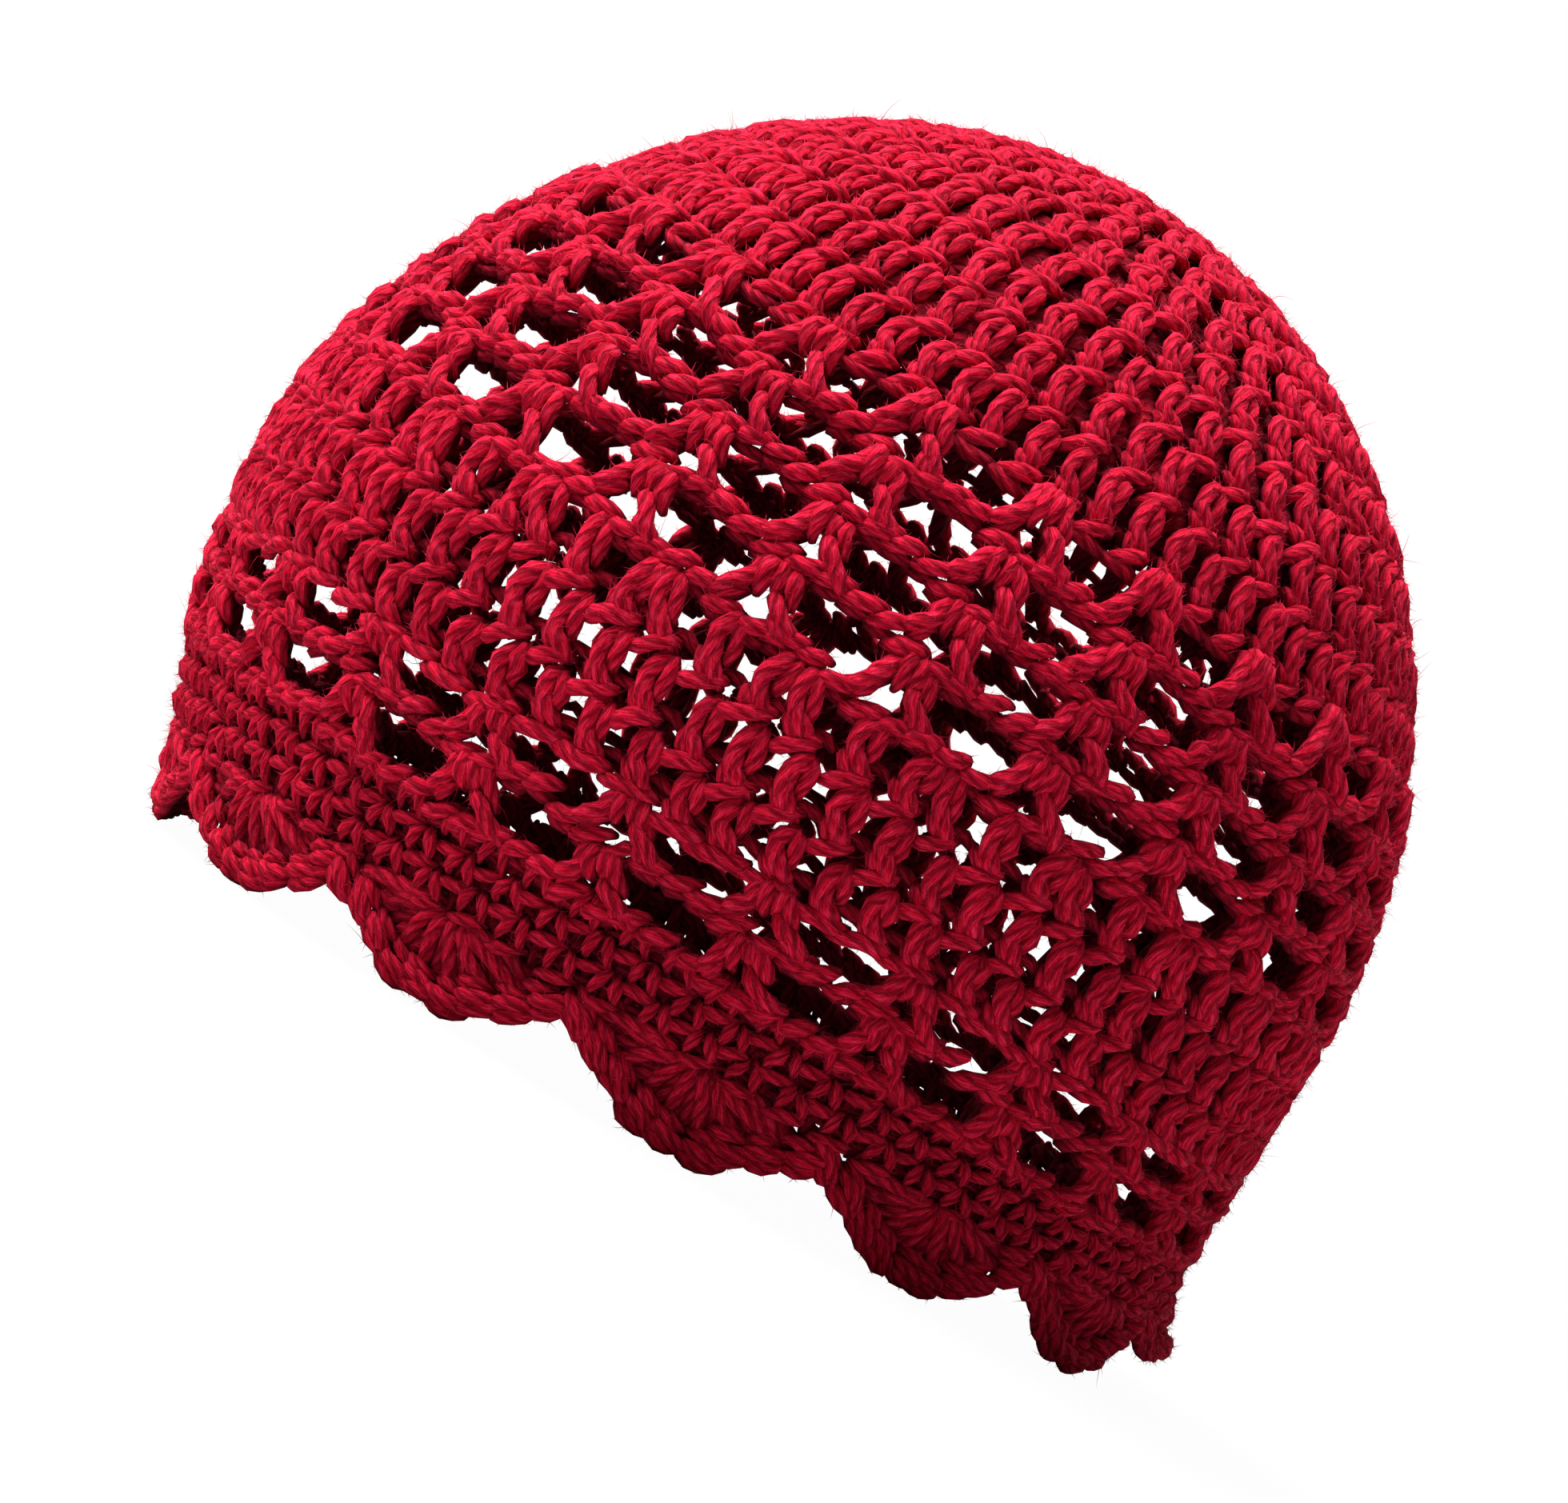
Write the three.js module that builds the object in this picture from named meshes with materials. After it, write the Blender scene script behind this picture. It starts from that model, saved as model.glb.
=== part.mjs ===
// A crocheted cloche hat, worked in rounds from the top of the crown down to a scalloped edge.
// Millimetres, +Z up. The origin is under the middle of the hat, on the surface that the scallops stand on.
// The hat is nearly the same all the way round, and its crown leans towards +X.

import * as THREE from "three";

// Driving sizes

const hatHeight = 155.2; // from the scallop tips to the top of the crown
const hatWidth = 183.2; // across the widest round, along X
const hatLength = 180.6; // from front to back at the same round, along Y
const crownLean = 0.114; // how far the crown leans towards +X, as a slope
const wallThickness = 4; // of the crocheted fabric
const pieceGap = 0.3; // between two bands of the hat
const ribDepth = 0.8; // how deep the groove between two rounds of stitches is
const repeatWidth = 23.8; // of one lace repeat, three stitches wide, at the widest round
const scallopWidth = 41; // from notch to notch
const scallopDepth = 8.7; // from a scallop's tip up to the notch beside it
const scallopTip = 7; // length of the flat end of a scallop
const ribbedFace = 16; // about how wide a face of a ribbed band is

// Shape of the openings

const openingCorners = 8;
const openingRoundness = 0.7; // 1 makes an opening oval, and less makes it squarer
const profileSteps = 90; // steps in which the outline is measured

// Colour and finish of the yarn

const yarnRed = 0xa80f24;
const yarnRoughness = 0.85;

// The outline below the crown. up is a share of hatHeight, half is a share of half the hat's width
// at that height, shift is how far the section's middle lies towards +X as a share of hatWidth,
// and lean is a share of crownLean.

const outline = [
  { place: "scallop tips", up: 0, half: 0.932, shift: 0.034, lean: 0 },
  { place: "notches", up: 0.056, half: 0.945, shift: 0.031, lean: 0 },
  { place: "brim", up: 0.13, half: 0.965, shift: 0.02, lean: 0.18 },
  { place: "lower lace, foot", up: 0.187, half: 0.978, shift: 0.009, lean: 0.33 },
  { place: "lower lace, head", up: 0.242, half: 0.989, shift: 0.005, lean: 0.4 },
  { place: "widest round", up: 0.348, half: 1, shift: 0.001, lean: 0.61 },
  { place: "upper lace, fourth round", up: 0.472, half: 0.979, shift: 0.01, lean: 0.82 },
  { place: "upper lace, third round", up: 0.537, half: 0.95, shift: 0.019, lean: 0.92 },
  { place: "upper lace, second round", up: 0.597, half: 0.913, shift: 0.027, lean: 0.99 },
  { place: "upper lace, first round", up: 0.654, half: 0.871, shift: 0.035, lean: 1 },
];

// Above that table the crown is the top of a half ellipse, and starts at this share of its height.

const domeStart = 0.465;

// The bands from the top down. until is where a band ends, as a share of the way along the surface
// from the top of the crown to the scallop tips. rounds is how many rounds of stitches it has.

const bands = {
  crown: { rounds: 9, until: 0.455 },
  upperLace: { rounds: 4, until: 0.667 },
  middle: { rounds: 3, until: 0.801 },
  lowerLace: { rounds: 2, until: 0.882 },
  brim: { rounds: 2, until: 0.938 },
};

// The openings of each lace round, as shares of the cell between two rounds and two columns of
// stitches. foot is how wide the opening's lower side is beside its upper side, and drop is how far
// its middle lies below the middle of its cell.

const upperLaceRounds = [
  { round: "first", pierced: false },
  { round: "second", pierced: true, wide: 0.55, tall: 0.6, foot: 0.8, drop: 0.02 },
  { round: "third", pierced: true, wide: 0.56, tall: 0.6, foot: 0.8, drop: 0.02 },
  { round: "fourth", pierced: true, wide: 0.57, tall: 0.7, foot: 0.65, drop: 0.04 },
];

const lowerLaceRounds = [
  { round: "first", pierced: true, wide: 0.6, tall: 0.52, foot: 0.75, drop: 0 },
  { round: "second", pierced: true, wide: 0.6, tall: 0.66, foot: 0.6, drop: 0 },
];

// How many fit round the hat

const girth = (Math.PI * (hatWidth + hatLength)) / 2;
const edgeGirth = girth * outline[0].half;
const laceRepeats = Math.round(girth / repeatWidth);
const ribbedColumns = Math.round(girth / ribbedFace);
const scallopCount = Math.round(edgeGirth / scallopWidth);

// Directions of the openings and of the scallop tips nearest to -Y, turned towards +X.

const firstOpening = THREE.MathUtils.degToRad(-2.4);
const firstScallop = THREE.MathUtils.degToRad(4.8);

// The edge of one scallop, from notch to notch. scallopPlaces are where its corners lie, counted
// from -1 to 1, with the flat tip between the middle ones.

const tipShare = (scallopTip * scallopCount) / edgeGirth;
const scallopPlaces = [-1, -0.72, -0.46, -tipShare, 0, tipShare, 0.46, 0.72];
const scallopCurve = 1.5; // 1 makes its sides straight, and more rounds its tip
const scallopRows = [0, 0.5, 1]; // rows of corners, as shares of the way down to the edge

const fullTurn = 2 * Math.PI;
const nearlyZero = 1e-9; // for comparing lengths

// The surface

// Sections at even steps from the scallop tips up to the top of the crown.
function measureSections() {
  const ups = outline.map((row) => row.up);
  const values = outline.flatMap((row) => [row.half, row.shift, row.lean]);
  const between = new THREE.CubicInterpolant(ups, values, 3);
  const last = outline[outline.length - 1];
  const sections = [];
  for (let step = 0; step <= profileSteps; step += 1) {
    const up = (last.up * step) / profileSteps;
    const [half, shift, lean] = between.evaluate(up);
    sections.push({
      height: up * hatHeight,
      half: (half * hatWidth) / 2,
      middle: shift * hatWidth,
      slope: -lean * crownLean,
    });
  }
  const shoulder = sections[sections.length - 1];
  const startAngle = Math.asin(domeStart);
  for (let step = 1; step <= profileSteps; step += 1) {
    const angle = startAngle + ((Math.PI / 2 - startAngle) * step) / profileSteps;
    const rise = (hatHeight - shoulder.height) * ((Math.sin(angle) - domeStart) / (1 - domeStart));
    sections.push({
      height: shoulder.height + rise,
      half: (shoulder.half * Math.cos(angle)) / Math.cos(startAngle),
      middle: shoulder.middle + rise * crownLean,
      slope: shoulder.slope,
    });
  }
  return sections.reverse();
}

// Adds to each section how far along the surface it lies from the top, and which way is out.
function addRuns(sections) {
  let run = 0;
  sections.forEach((section, index) => {
    const before = sections[Math.max(index - 1, 0)];
    const after = sections[Math.min(index + 1, sections.length - 1)];
    run += Math.hypot(section.half - before.half, section.height - before.height);
    section.run = run;
    const widening = after.half - before.half;
    const falling = before.height - after.height;
    const length = Math.hypot(widening, falling);
    section.outAcross = falling / length;
    section.outUp = widening / length;
  });
  return sections;
}

const sections = addRuns(measureSections());
const fullRun = sections[sections.length - 1].run;

// The section at a share of the way from the top of the crown to the scallop tips.
function sectionAt(share) {
  const run = THREE.MathUtils.clamp(share, 0, 1) * fullRun;
  const index = Math.max(1, sections.findIndex((section) => section.run >= run - nearlyZero));
  const [upper, lower] = [sections[index - 1], sections[index]];
  const part = (run - upper.run) / (lower.run - upper.run);
  const result = {};
  for (const key of Object.keys(upper)) {
    result[key] = THREE.MathUtils.lerp(upper[key], lower[key], part);
  }
  return result;
}

// The point at a turn round a section, counted from -Y towards +X. depth is how far in it lies.
function pointOn(section, turn, depth) {
  const half = Math.max(section.half - depth * section.outAcross, 0);
  const across = half * Math.sin(turn);
  const forward = half * Math.cos(turn) * (hatLength / hatWidth);
  const height = section.height + section.slope * across - depth * section.outUp;
  return new THREE.Vector3(section.middle + across, -forward, height);
}

// Meshes

// Collects the points and faces of one closed body.
class Body {
  constructor() {
    this.points = [];
    this.faces = [];
  }

  point(place) {
    this.points.push(place.x, place.y, place.z);
    return this.points.length / 3 - 1;
  }

  face(a, b, c) {
    this.faces.push(a, b, c);
  }

  quad(a, b, c, d) {
    this.face(a, b, c);
    this.face(a, c, d);
  }

  mesh(name) {
    const geometry = new THREE.BufferGeometry();
    geometry.setAttribute("position", new THREE.Float32BufferAttribute(this.points, 3));
    geometry.setIndex(this.faces);
    geometry.computeVertexNormals();
    const yarn = new THREE.MeshStandardMaterial({
      color: yarnRed,
      roughness: yarnRoughness,
      metalness: 0,
      flatShading: true,
    });
    const mesh = new THREE.Mesh(geometry, yarn);
    mesh.name = name;
    return mesh;
  }
}

// A row of points round the hat: the outer skin's and the inner skin's.
function addRow(body, turns, placeOf) {
  return {
    outer: turns.map((turn) => body.point(placeOf(turn, 0))),
    inner: turns.map((turn) => body.point(placeOf(turn, 1))),
  };
}

// Faces between two rows of a closed wall, on both skins, at one column.
function coverColumn(body, upper, lower, column) {
  const next = (column + 1) % upper.outer.length;
  body.quad(upper.outer[column], lower.outer[column], lower.outer[next], upper.outer[next]);
  body.quad(upper.inner[next], lower.inner[next], lower.inner[column], upper.inner[column]);
}

// Faces that close the wall along its top row or, with the skins swapped, along its bottom row.
function coverRim(body, first, second) {
  first.forEach((point, column) => {
    const next = (column + 1) % first.length;
    body.quad(point, first[next], second[next], second[column]);
  });
}

function turnsRound(count, start) {
  return Array.from({ length: count }, (_, index) => start + (fullTurn * index) / count);
}

// Where a band begins and ends along the surface, less half the gap to its neighbours.
function spanOf(from, until) {
  const half = pieceGap / 2 / fullRun;
  return { from: from + half, until: until - half };
}

// The levels of a ribbed band: a groove between every two rounds and a crest along each.
function ribLevels(span, rounds) {
  const levels = [];
  for (let step = 0; step <= 2 * rounds; step += 1) {
    const share = THREE.MathUtils.lerp(span.from, span.until, step / (2 * rounds));
    levels.push({ share, sunk: step % 2 === 0 ? ribDepth : 0 });
  }
  return levels;
}

function ribbedPlace(level) {
  const section = sectionAt(level.share);
  return (turn, skin) => pointOn(section, turn, skin === 0 ? level.sunk : wallThickness);
}

// A band of plain rounds, open at its top and its bottom.
function ribbedBand(name, from, band) {
  const body = new Body();
  const turns = turnsRound(ribbedColumns, 0);
  const levels = ribLevels(spanOf(from, band.until), band.rounds);
  const rows = levels.map((level) => addRow(body, turns, ribbedPlace(level)));
  for (let row = 1; row < rows.length; row += 1) {
    turns.forEach((_, column) => coverColumn(body, rows[row - 1], rows[row], column));
  }
  const last = rows[rows.length - 1];
  coverRim(body, rows[0].outer, rows[0].inner);
  coverRim(body, last.inner, last.outer);
  return body.mesh(name);
}

// The crown: the same ribs, closed at the top by a fan of faces on each skin.
function crownDome(name, band) {
  const body = new Body();
  const turns = turnsRound(ribbedColumns, 0);
  const levels = ribLevels(spanOf(0, band.until), band.rounds).slice(1);
  const top = sectionAt(0);
  const tops = [0, wallThickness].map((depth) => body.point(pointOn(top, 0, depth)));
  const rows = levels.map((level) => addRow(body, turns, ribbedPlace(level)));
  turns.forEach((_, column) => {
    const next = (column + 1) % turns.length;
    body.face(tops[0], rows[0].outer[column], rows[0].outer[next]);
    body.face(tops[1], rows[0].inner[next], rows[0].inner[column]);
  });
  for (let row = 1; row < rows.length; row += 1) {
    turns.forEach((_, column) => coverColumn(body, rows[row - 1], rows[row], column));
  }
  const last = rows[rows.length - 1];
  coverRim(body, last.inner, last.outer);
  return body.mesh(name);
}

// Corners of an opening in its cell, both counted from -1 to 1, clockwise seen from outside.
function openingOutline(shape) {
  const squared = (value) => Math.sign(value) * Math.abs(value) ** openingRoundness;
  const corners = [];
  for (let corner = 0; corner < openingCorners; corner += 1) {
    const angle = (fullTurn * (corner + 0.5)) / openingCorners;
    const narrowing = Math.cos(angle) < 0 ? shape.foot : 1;
    corners.push({
      across: shape.wide * narrowing * squared(Math.sin(angle)),
      down: shape.drop - shape.tall * squared(Math.cos(angle)),
    });
  }
  return corners;
}

// Fills the ring of faces between a cell's border and its opening, both clockwise from the top.
function fillRing(body, border, opening, flip) {
  const angleOf = (corner) => (Math.atan2(corner.across, -corner.down) + fullTurn) % fullTurn;
  const sorted = (loop) => [...loop].sort((one, other) => angleOf(one) - angleOf(other));
  const [wide, narrow] = [sorted(border), sorted(opening)];
  const angleAt = (loop, step) => {
    return angleOf(loop[step % loop.length]) + fullTurn * Math.floor(step / loop.length);
  };
  let [w, n] = [0, 0];
  while (w < wide.length || n < narrow.length) {
    const here = [wide[w % wide.length].point, narrow[n % narrow.length].point];
    const widen = n >= narrow.length || (w < wide.length && angleAt(wide, w + 1) <= angleAt(narrow, n + 1));
    const next = widen ? wide[(w + 1) % wide.length].point : narrow[(n + 1) % narrow.length].point;
    body.face(...(flip ? [here[0], here[1], next] : [here[0], next, here[1]]));
    if (widen) {
      w += 1;
    } else {
      n += 1;
    }
  }
}

// One cell of the lace with an opening cut through it. columns are its left edge, middle and
// right edge in the two rows, and turn is the direction of its middle.
function piercedCell(body, upper, lower, columns, turn, span, shape) {
  const [left, middle, right] = columns;
  const places = [
    { across: -1, down: -1, row: upper, column: left },
    { across: 0, down: -1, row: upper, column: middle },
    { across: 1, down: -1, row: upper, column: right },
    { across: 1, down: 1, row: lower, column: right },
    { across: 0, down: 1, row: lower, column: middle },
    { across: -1, down: 1, row: lower, column: left },
  ];
  const halfCell = fullTurn / laceRepeats / 2;
  const corners = openingOutline(shape);
  const loops = [0, wallThickness].map((depth, skin) => {
    const border = places.map((place) => ({
      ...place,
      point: (skin === 0 ? place.row.outer : place.row.inner)[place.column],
    }));
    const opening = corners.map((corner) => {
      const section = sectionAt(THREE.MathUtils.lerp(span.from, span.until, (corner.down + 1) / 2));
      return { ...corner, point: body.point(pointOn(section, turn + corner.across * halfCell, depth)) };
    });
    fillRing(body, border, opening, skin === 0);
    return opening;
  });
  const [outer, inner] = loops.map((loop) => loop.map((corner) => corner.point));
  coverRim(body, inner, outer);
}

// A band of lace: one row of cells for each round, most of them with an opening.
function laceBand(name, from, band, rounds) {
  const body = new Body();
  const columns = 2 * laceRepeats;
  const turns = turnsRound(columns, firstOpening);
  const span = spanOf(from, band.until);
  const shares = [...rounds, null].map((_, row) => {
    return THREE.MathUtils.lerp(span.from, span.until, row / rounds.length);
  });
  const rows = shares.map((share) => {
    const section = sectionAt(share);
    return addRow(body, turns, (turn, skin) => pointOn(section, turn, skin * wallThickness));
  });
  rounds.forEach((round, row) => {
    const cell = { from: shares[row], until: shares[row + 1] };
    for (let middle = 0; middle < columns; middle += 2) {
      const left = (middle + columns - 1) % columns;
      if (round.pierced) {
        const corners = [left, middle, middle + 1];
        piercedCell(body, rows[row], rows[row + 1], corners, turns[middle], cell, round);
      } else {
        coverColumn(body, rows[row], rows[row + 1], left);
        coverColumn(body, rows[row], rows[row + 1], middle);
      }
    }
  });
  const last = rows[rows.length - 1];
  coverRim(body, rows[0].outer, rows[0].inner);
  coverRim(body, last.inner, last.outer);
  return body.mesh(name);
}

// How high the scalloped edge lies at a place along one scallop, counted from -1 to 1.
function scallopHeight(place) {
  const beyond = Math.max(Math.abs(place) - tipShare, 0) / (1 - tipShare);
  return scallopDepth * beyond ** scallopCurve;
}

// The section of the brim at a height above the scallop tips.
function sectionAtHeight(height) {
  const index = sections.findIndex((section) => section.height <= height + nearlyZero);
  const [upper, lower] = [sections[index - 1], sections[index]];
  const part = (upper.height - height) / (upper.height - lower.height);
  return sectionAt(THREE.MathUtils.lerp(upper.run, lower.run, part) / fullRun);
}

// The scalloped edging. Its bottom edge is flat where the hat stands on it.
function scallopEdging(name, from) {
  const body = new Body();
  const turns = [];
  const heights = new Map();
  for (let scallop = 0; scallop < scallopCount; scallop += 1) {
    for (const place of scallopPlaces) {
      const turn = firstScallop + (fullTurn * (scallop + place / 2)) / scallopCount;
      turns.push(turn);
      heights.set(turn, scallopHeight(place));
    }
  }
  const top = sectionAt(spanOf(from, 1).from);
  const edgePlace = (turn, skin) => {
    const height = heights.get(turn);
    const edge = { ...sectionAtHeight(height), height, slope: 0, outAcross: 1, outUp: 0 };
    return pointOn(edge, turn, skin * wallThickness);
  };
  const rows = scallopRows.map((part) => {
    return addRow(body, turns, (turn, skin) => {
      return pointOn(top, turn, skin * wallThickness).lerp(edgePlace(turn, skin), part);
    });
  });
  for (let row = 1; row < rows.length; row += 1) {
    turns.forEach((_, column) => coverColumn(body, rows[row - 1], rows[row], column));
  }
  const last = rows[rows.length - 1];
  coverRim(body, rows[0].outer, rows[0].inner);
  coverRim(body, last.inner, last.outer);
  return body.mesh(name);
}

// The hat

const hat = new THREE.Group();
hat.add(crownDome("crown", bands.crown));
hat.add(laceBand("upper_lace_band", bands.crown.until, bands.upperLace, upperLaceRounds));
hat.add(ribbedBand("middle_band", bands.upperLace.until, bands.middle));
hat.add(laceBand("lower_lace_band", bands.middle.until, bands.lowerLace, lowerLaceRounds));
hat.add(ribbedBand("brim_band", bands.lowerLace.until, bands.brim));
hat.add(scallopEdging("scallop_edging", bands.brim.until));

export default hat;
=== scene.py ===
"""Looks of a crocheted cloche hat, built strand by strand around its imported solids."""

import math

import bpy
import numpy as np
from mathutils import Matrix, Vector


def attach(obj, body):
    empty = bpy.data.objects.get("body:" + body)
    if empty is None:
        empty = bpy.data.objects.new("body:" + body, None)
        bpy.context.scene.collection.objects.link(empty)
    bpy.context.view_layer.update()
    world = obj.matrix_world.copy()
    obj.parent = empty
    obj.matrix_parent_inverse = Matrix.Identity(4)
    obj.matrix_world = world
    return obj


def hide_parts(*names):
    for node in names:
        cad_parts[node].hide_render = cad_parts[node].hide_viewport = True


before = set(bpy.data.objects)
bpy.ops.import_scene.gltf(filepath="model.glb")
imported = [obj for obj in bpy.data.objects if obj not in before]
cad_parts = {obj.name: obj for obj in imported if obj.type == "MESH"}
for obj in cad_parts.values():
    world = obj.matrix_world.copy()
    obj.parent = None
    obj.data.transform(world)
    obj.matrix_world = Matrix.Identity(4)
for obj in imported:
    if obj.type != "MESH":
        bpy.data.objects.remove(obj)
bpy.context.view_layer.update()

bl_info = {
    "name": "Crocheted cloche hat",
    "version": (1, 0, 0),
    "blender": (4, 5, 0),
    "location": "3D View > Sidebar > Hat",
    "description": "Crochets a cloche hat from single strands of yarn",
    "category": "Add Mesh",
}

# Units, a full turn, and the seed of all that is uneven
MM = 0.001
FULL_TURN = 2 * math.pi
SEED = 24

# The photograph's width and the focal length in pixels, and the camera's place in millimetres
PHOTO_WIDTH = 1960
FOCAL_PIXELS = 8038
SENSOR_WIDTH = 36
CAMERA_DISTANCE = 965
CAMERA_HEIGHT = 56.2
CAMERA_ROLL = math.radians(31)
CAMERA_CLIP = 20  # metres

# Where the soft light comes from, how strong and broad it is, and the strength of the sky's light
KEY_FROM = (-0.47, 0.16, 0.87)
KEY_STRENGTH = 9.2
KEY_BREADTH = math.radians(50)
SKY_STRENGTH = 0.085
FLOOR_GLARE = 0.96  # how much of the floor's look is plain white to the camera

# The floor in metres: its near and far ends, half its width, its height at the far end and the
# radius and the steps of its bend
FLOOR_NEAR, FLOOR_FAR, FLOOR_SIDE, FLOOR_HEIGHT = -3.0, 3.0, 5.0, 4.0
FLOOR_BEND, FLOOR_BEND_STEPS = 1.2, 12

# Uneven tension: millimetres up or down, waves in a round, millimetres of run in a radian, phase
TENSION = ((0.35, 5, 19, 0.4), (0.3, 11, -13, 2.1), (0.25, 17, 9, 4.4), (0.2, 29, -7, 1.2))
TENSION_FADE = 30  # millimetres from the top and from the edge over which it fades in

# Where the edge curls: its direction from -Y towards +X, millimetres out and up, and its breadth
EDGE_CURLS = ((math.radians(-92), -3.2, 0.0, 0.34), (math.radians(92), 5.0, 8.5, 0.24))
CURL_START, CURL_END = 0.9, 1.02  # where the curls begin and stop, as shares of the way to the edge
CURL_POWER = 1.5  # 1 curls evenly, and more curls the tip more than the rest

# The yarn, and the mesh of its strands
PLIES = 4
UNEVEN = 0.07  # how uneven a strand's surface is, as a share of its radius
STRAND_SPREAD = 0.06  # how much the strands' thicknesses differ, as a share
STRAND_END = 0.45  # how thick a strand's ends are, as a share
FRONT_SIDES, BACK_SIDES = 7, 5
BACK_STEP = 1.8  # steps of a hidden strand, in steps of one that shows
FEWEST_STEPS = 4
HIDDEN = ("back", "lower strand")  # how the names of hidden strands begin
UV_LENGTH = 10.0  # millimetres of strand in one unit of the UV map

# Loose fibres: name, how many, steps of each, shortest and longest in millimetres, and how
# steeply they stand up
FIBRES = (
    ("short_fibres", 64000, 1, (0.7, 1.9), 0.7),
    ("finest_fibres", 27000, 1, (0.5, 1.2), 1.0),
    ("stray_fibres", 1600, 4, (2.0, 5.5), 0.6),
)
FIBRE_RADIUS = 0.055  # millimetres at the root, thicker than a real fibre so that it shows
FIBRE_SIDES = 3
FIBRE_ROOT = 0.1  # millimetres that a fibre starts inside its strand
FIBRE_BEND = 1.2  # how far a fibre of some steps bends aside, as a share of its direction
FIBRE_LEAST = 0.1  # how steeply the flattest fibres stand up
FIBRE_CENTRE = 60  # millimetres up, where the outward directions start
FIBRE_FACING = -0.1  # how far from outwards a strand's surface may face and still grow fibres
FIBRE_HEIGHT = 0.5  # millimetres out of the middle of the fabric, from where strands grow fibres

# The solids' outline from the edge up to the shoulder: share of the height, share of half the
# width there, how far its middle lies towards +X as a share of the width, and share of the lean
OUTLINE = np.array([
    (0.000, 0.932, 0.034, 0.00),
    (0.056, 0.945, 0.031, 0.00),
    (0.130, 0.965, 0.020, 0.18),
    (0.187, 0.978, 0.009, 0.33),
    (0.242, 0.989, 0.005, 0.40),
    (0.348, 1.000, 0.001, 0.61),
    (0.472, 0.979, 0.010, 0.82),
    (0.537, 0.950, 0.019, 0.92),
    (0.597, 0.913, 0.027, 0.99),
    (0.654, 0.871, 0.035, 1.00),
])
DOME_START = 0.465  # how far up its half ellipse the crown begins
OUTLINE_STEPS = 400

# How far down from the top of the crown the rounds end, as shares of the way to the edge
CROWN_END = 0.455
UPPER_LACE_ENDS = (0.517, 0.567, 0.616, 0.667)
MIDDLE_ENDS = (0.717, 0.765, 0.804)
LOWER_LACE_ENDS = (0.841, 0.882)
BRIM_ENDS = (0.900, 0.919, 0.938)

CROWN_THICKNESS = 0.96  # of the crown's yarn, in widths of the rest
CROWN_SINK = 1.0  # millimetres that the crown's stitches lie further in
CROWN_RING = 2.0  # millimetres from the top to where the first round begins
CROWN_START = 0.1  # where the last round begins, in stitches from a V stitch
CROWN_TURN = 0.11  # radians that each round begins before the one below it
BRIM_THICKNESS = 0.84  # of the brim's yarn, which is drawn tight
BRIM_DRIFT = 0.4  # how far each round of the brim stands on from the one above, in stitches
ROUND_DRIFT = 0.39  # how far each plain round's posts stand on from those above, in stitches
BAR_START = 0.13  # how far before a V stitch its bar of chains begins, as a share of a repeat

# Millimetres down: from the crown to the first V stitches, from there to the backs of their heads,
# from a round's end to its bar and to the next V stitches, how far a bar rises and falls, how far
# the brim reaches up behind the lace, and from where two rounds meet to their backing
FIRST_LACE, HEAD_BACK_DROP = 1.0, 2.2
UPPER_BAR, UPPER_NEXT, UPPER_WAVE = -0.6, 0.5, 0.8
LOWER_BAR, LOWER_NEXT, LOWER_WAVE = -0.5, 0.3, 0.5
BRIM_OVERLAP = 0.8
BRIM_BACKING, SHELL_BACKING = 0.6, -0.6

# Where the first plain round's posts start under a V stitch and where they end, in stitches
SPREAD_TOPS = np.array((-0.05, 1.21, 1.58))
SPREAD_FEET = np.array((0.05, 1.02, 2.03))

# Counts of rounds, stitches and links
CROWN_ROUNDS = 9
CROWN_INCREASE = 8  # stitches more in each round of the crown
LACE_REPEATS = 24
STITCHES_PER_REPEAT = 3
ROUND_STITCHES = LACE_REPEATS * STITCHES_PER_REPEAT
BAR_LINKS = 5  # in one repeat
SCALLOPS = 13
SHELL_STITCHES = 7
BORDER_LINKS = 9  # along one scallop

# Shells: how far out the last stitches end and how wide the tip is, as shares of half a scallop,
# how round the left and the right side are, how far a stitch starts and fans out, as shares of
# where it ends, and millimetres from the edge to the stitches' ends and to the border
SHELL_REACH = 0.88
SHELL_TIP = 0.17
SHELL_LEFT, SHELL_RIGHT = 1.05, 1.35
SHELL_FOOT, SHELL_FAN = 0.22, 0.72
SHELL_INSET, BORDER_INSET = 2.9, 3.0

# Directions, turned from -Y towards +X
FIRST_OPENING = math.radians(-2.4)
FIRST_SCALLOP = math.radians(4.8)

# Routes of the strands of each stitch. Each strand has a name, a share of the yarn's thickness
# and its route: across, down and out. Out is in millimetres from the middle of the fabric.

# Across is in widths of a stitch from where the post begins, and down in heights of the round
FRONT_LOOP = (
    ("front loop", 1.0, (
        (-0.48, 1.18, -0.9), (-0.29, 1.10, 0.6), (0.02, 0.95, 1.2), (0.30, 0.82, 0.8), (0.46, 0.76, -0.6))),
)
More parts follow.
